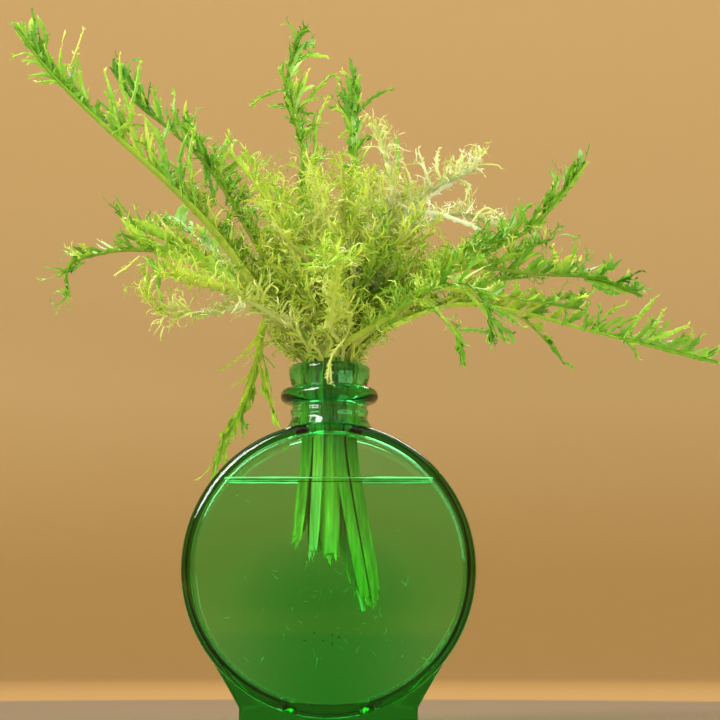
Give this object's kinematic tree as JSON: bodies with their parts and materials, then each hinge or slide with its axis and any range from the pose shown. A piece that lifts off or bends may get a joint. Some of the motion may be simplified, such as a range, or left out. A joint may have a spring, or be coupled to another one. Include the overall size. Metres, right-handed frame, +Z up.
{
  "type": "curly endive head in a bottle vase",
  "caption": "Head of curly endive, its cut leaves standing loosely in a round, flat-faced green glass bottle part filled with water.",
  "frame": {"origin": "middle of the underside of the bottle's foot, on the surface it stands on", "axes": "+Z up along the bottle's neck; -Y out of the flat front face of the bottle; +X to the right, towards the longest right-hand leaf"},
  "size_m": [0.2852, 0.1848, 0.2869],
  "materials": {
    "glass": "clear emerald green glass, glossy, with small bubbles and faint scratches",
    "water": "still clear water",
    "leaf_green": "satin leaf, mid to dark green blade with a paler rib",
    "leaf_lime": "satin leaf, yellow-green",
    "leaf_cream": "satin leaf, cream rib with pale yellow tips",
    "leaf_heart": "satin, fine curly yellow-green filaments"
  },
  "bodies": {
    "root": {"glass_bottle": "glass", "water": "water", "heart": "leaf_heart", "leaf_left_long": "leaf_green", "leaf_right_long": "leaf_green", "leaf_right_middle": "leaf_green", "leaf_right_high": "leaf_green", "leaf_left_low": "leaf_lime", "leaf_left_front": "leaf_cream", "leaf_left_drooping": "leaf_green", "leaf_left_back": "leaf_green", "leaf_back": "leaf_lime", "leaf_right_back": "leaf_green", "leaf_right_front": "leaf_green", "leaf_front": "leaf_lime", "leaf_left_upright": "leaf_green", "leaf_top_left": "leaf_green", "leaf_top": "leaf_green", "leaf_cream_right": "leaf_cream", "leaf_front_right": "leaf_cream", "leaf_front_left": "leaf_lime"}
  },
  "joints": []
}
